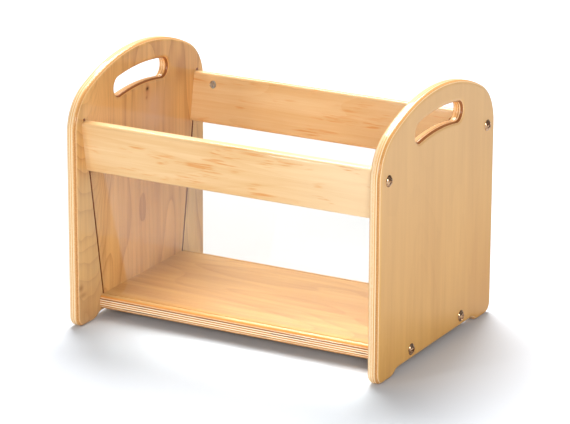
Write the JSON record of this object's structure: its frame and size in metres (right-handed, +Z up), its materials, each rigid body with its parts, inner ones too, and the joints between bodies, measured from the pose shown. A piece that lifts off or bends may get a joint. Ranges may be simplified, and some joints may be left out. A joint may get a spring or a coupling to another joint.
{
  "type": "book cart",
  "caption": "Table-top book cart: two arched plywood uprights with hand-holds, a plywood bottom board, leaning maple rails and clear acrylic front and back.",
  "frame": {"origin": "on the floor, under the middle of the cart", "axes": "+X along the width to the right-hand upright, -Y to the front, +Z up"},
  "size_m": [0.4262, 0.303, 0.322],
  "materials": {
    "upright_plywood": "clear satin lacquer over birch plywood, striped plies on the rounded edges",
    "board_plywood": "clear satin lacquer over birch plywood, striped plies on the rounded edges",
    "rail_maple": "clear satin lacquer over solid maple",
    "clear_acrylic": "polished clear acrylic sheet",
    "screw_nickel": "nickel-plated steel, slightly satin",
    "nut_zinc": "zinc-plated steel",
    "dowel_beech": "plain unfinished beech"
  },
  "bodies": {
    "root": {"back_acrylic_panel": "clear_acrylic", "back_rail": "rail_maple", "bottom_board": "board_plywood", "front_acrylic_panel": "clear_acrylic", "front_rail": "rail_maple", "left_back_board_barrel_nut": "nut_zinc", "left_back_board_dowel": "dowel_beech", "left_back_board_screw": "screw_nickel", "left_back_rail_barrel_nut": "nut_zinc", "left_back_rail_dowel": "dowel_beech", "left_back_rail_screw": "screw_nickel", "left_front_board_barrel_nut": "nut_zinc", "left_front_board_dowel": "dowel_beech", "left_front_board_screw": "screw_nickel", "left_front_rail_barrel_nut": "nut_zinc", "left_front_rail_dowel": "dowel_beech", "left_front_rail_screw": "screw_nickel", "left_side_panel": "upright_plywood", "right_back_board_barrel_nut": "nut_zinc", "right_back_board_dowel": "dowel_beech", "right_back_board_screw": "screw_nickel", "right_back_rail_barrel_nut": "nut_zinc", "right_back_rail_dowel": "dowel_beech", "right_back_rail_screw": "screw_nickel", "right_front_board_barrel_nut": "nut_zinc", "right_front_board_dowel": "dowel_beech", "right_front_board_screw": "screw_nickel", "right_front_rail_barrel_nut": "nut_zinc", "right_front_rail_dowel": "dowel_beech", "right_front_rail_screw": "screw_nickel", "right_side_panel": "upright_plywood"}
  },
  "joints": []
}
